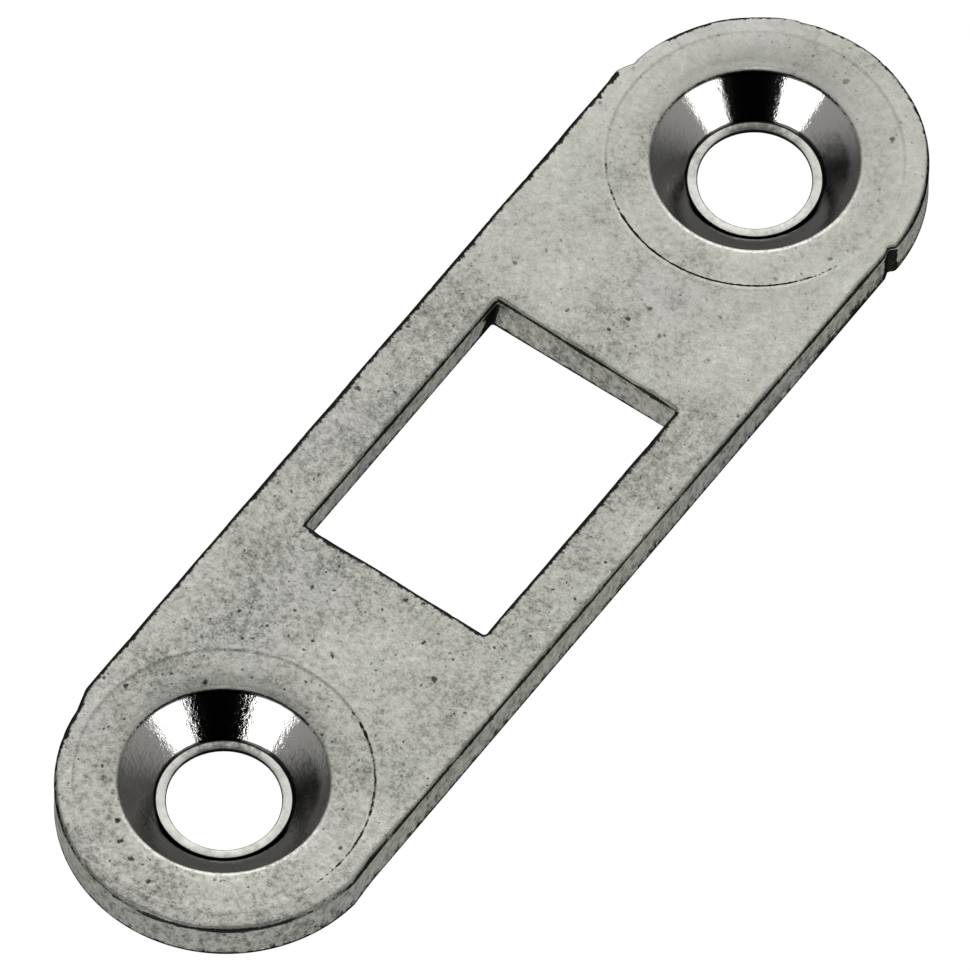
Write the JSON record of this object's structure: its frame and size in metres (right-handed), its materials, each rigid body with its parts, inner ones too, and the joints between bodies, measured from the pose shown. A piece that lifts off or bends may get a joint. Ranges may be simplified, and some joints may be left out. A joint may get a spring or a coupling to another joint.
{
  "type": "door strike plate",
  "caption": "Small flat strike plate with round ends: a rectangular slot takes the latch of a door, and countersunk holes take the screws that fix it to the frame.",
  "frame": {"origin": "on the back face, midway between the axes of the two screw holes", "axes": "+Z out of the countersunk front face, +Y along the plate from one screw hole to the other"},
  "size_m": [0.0124, 0.0442, 0.0017],
  "materials": {
    "plate": "dull nickel-plated steel, tumbled and slightly pitted, with bright coined countersinks"
  },
  "bodies": {
    "root": {"strike_plate": "plate"}
  },
  "joints": []
}
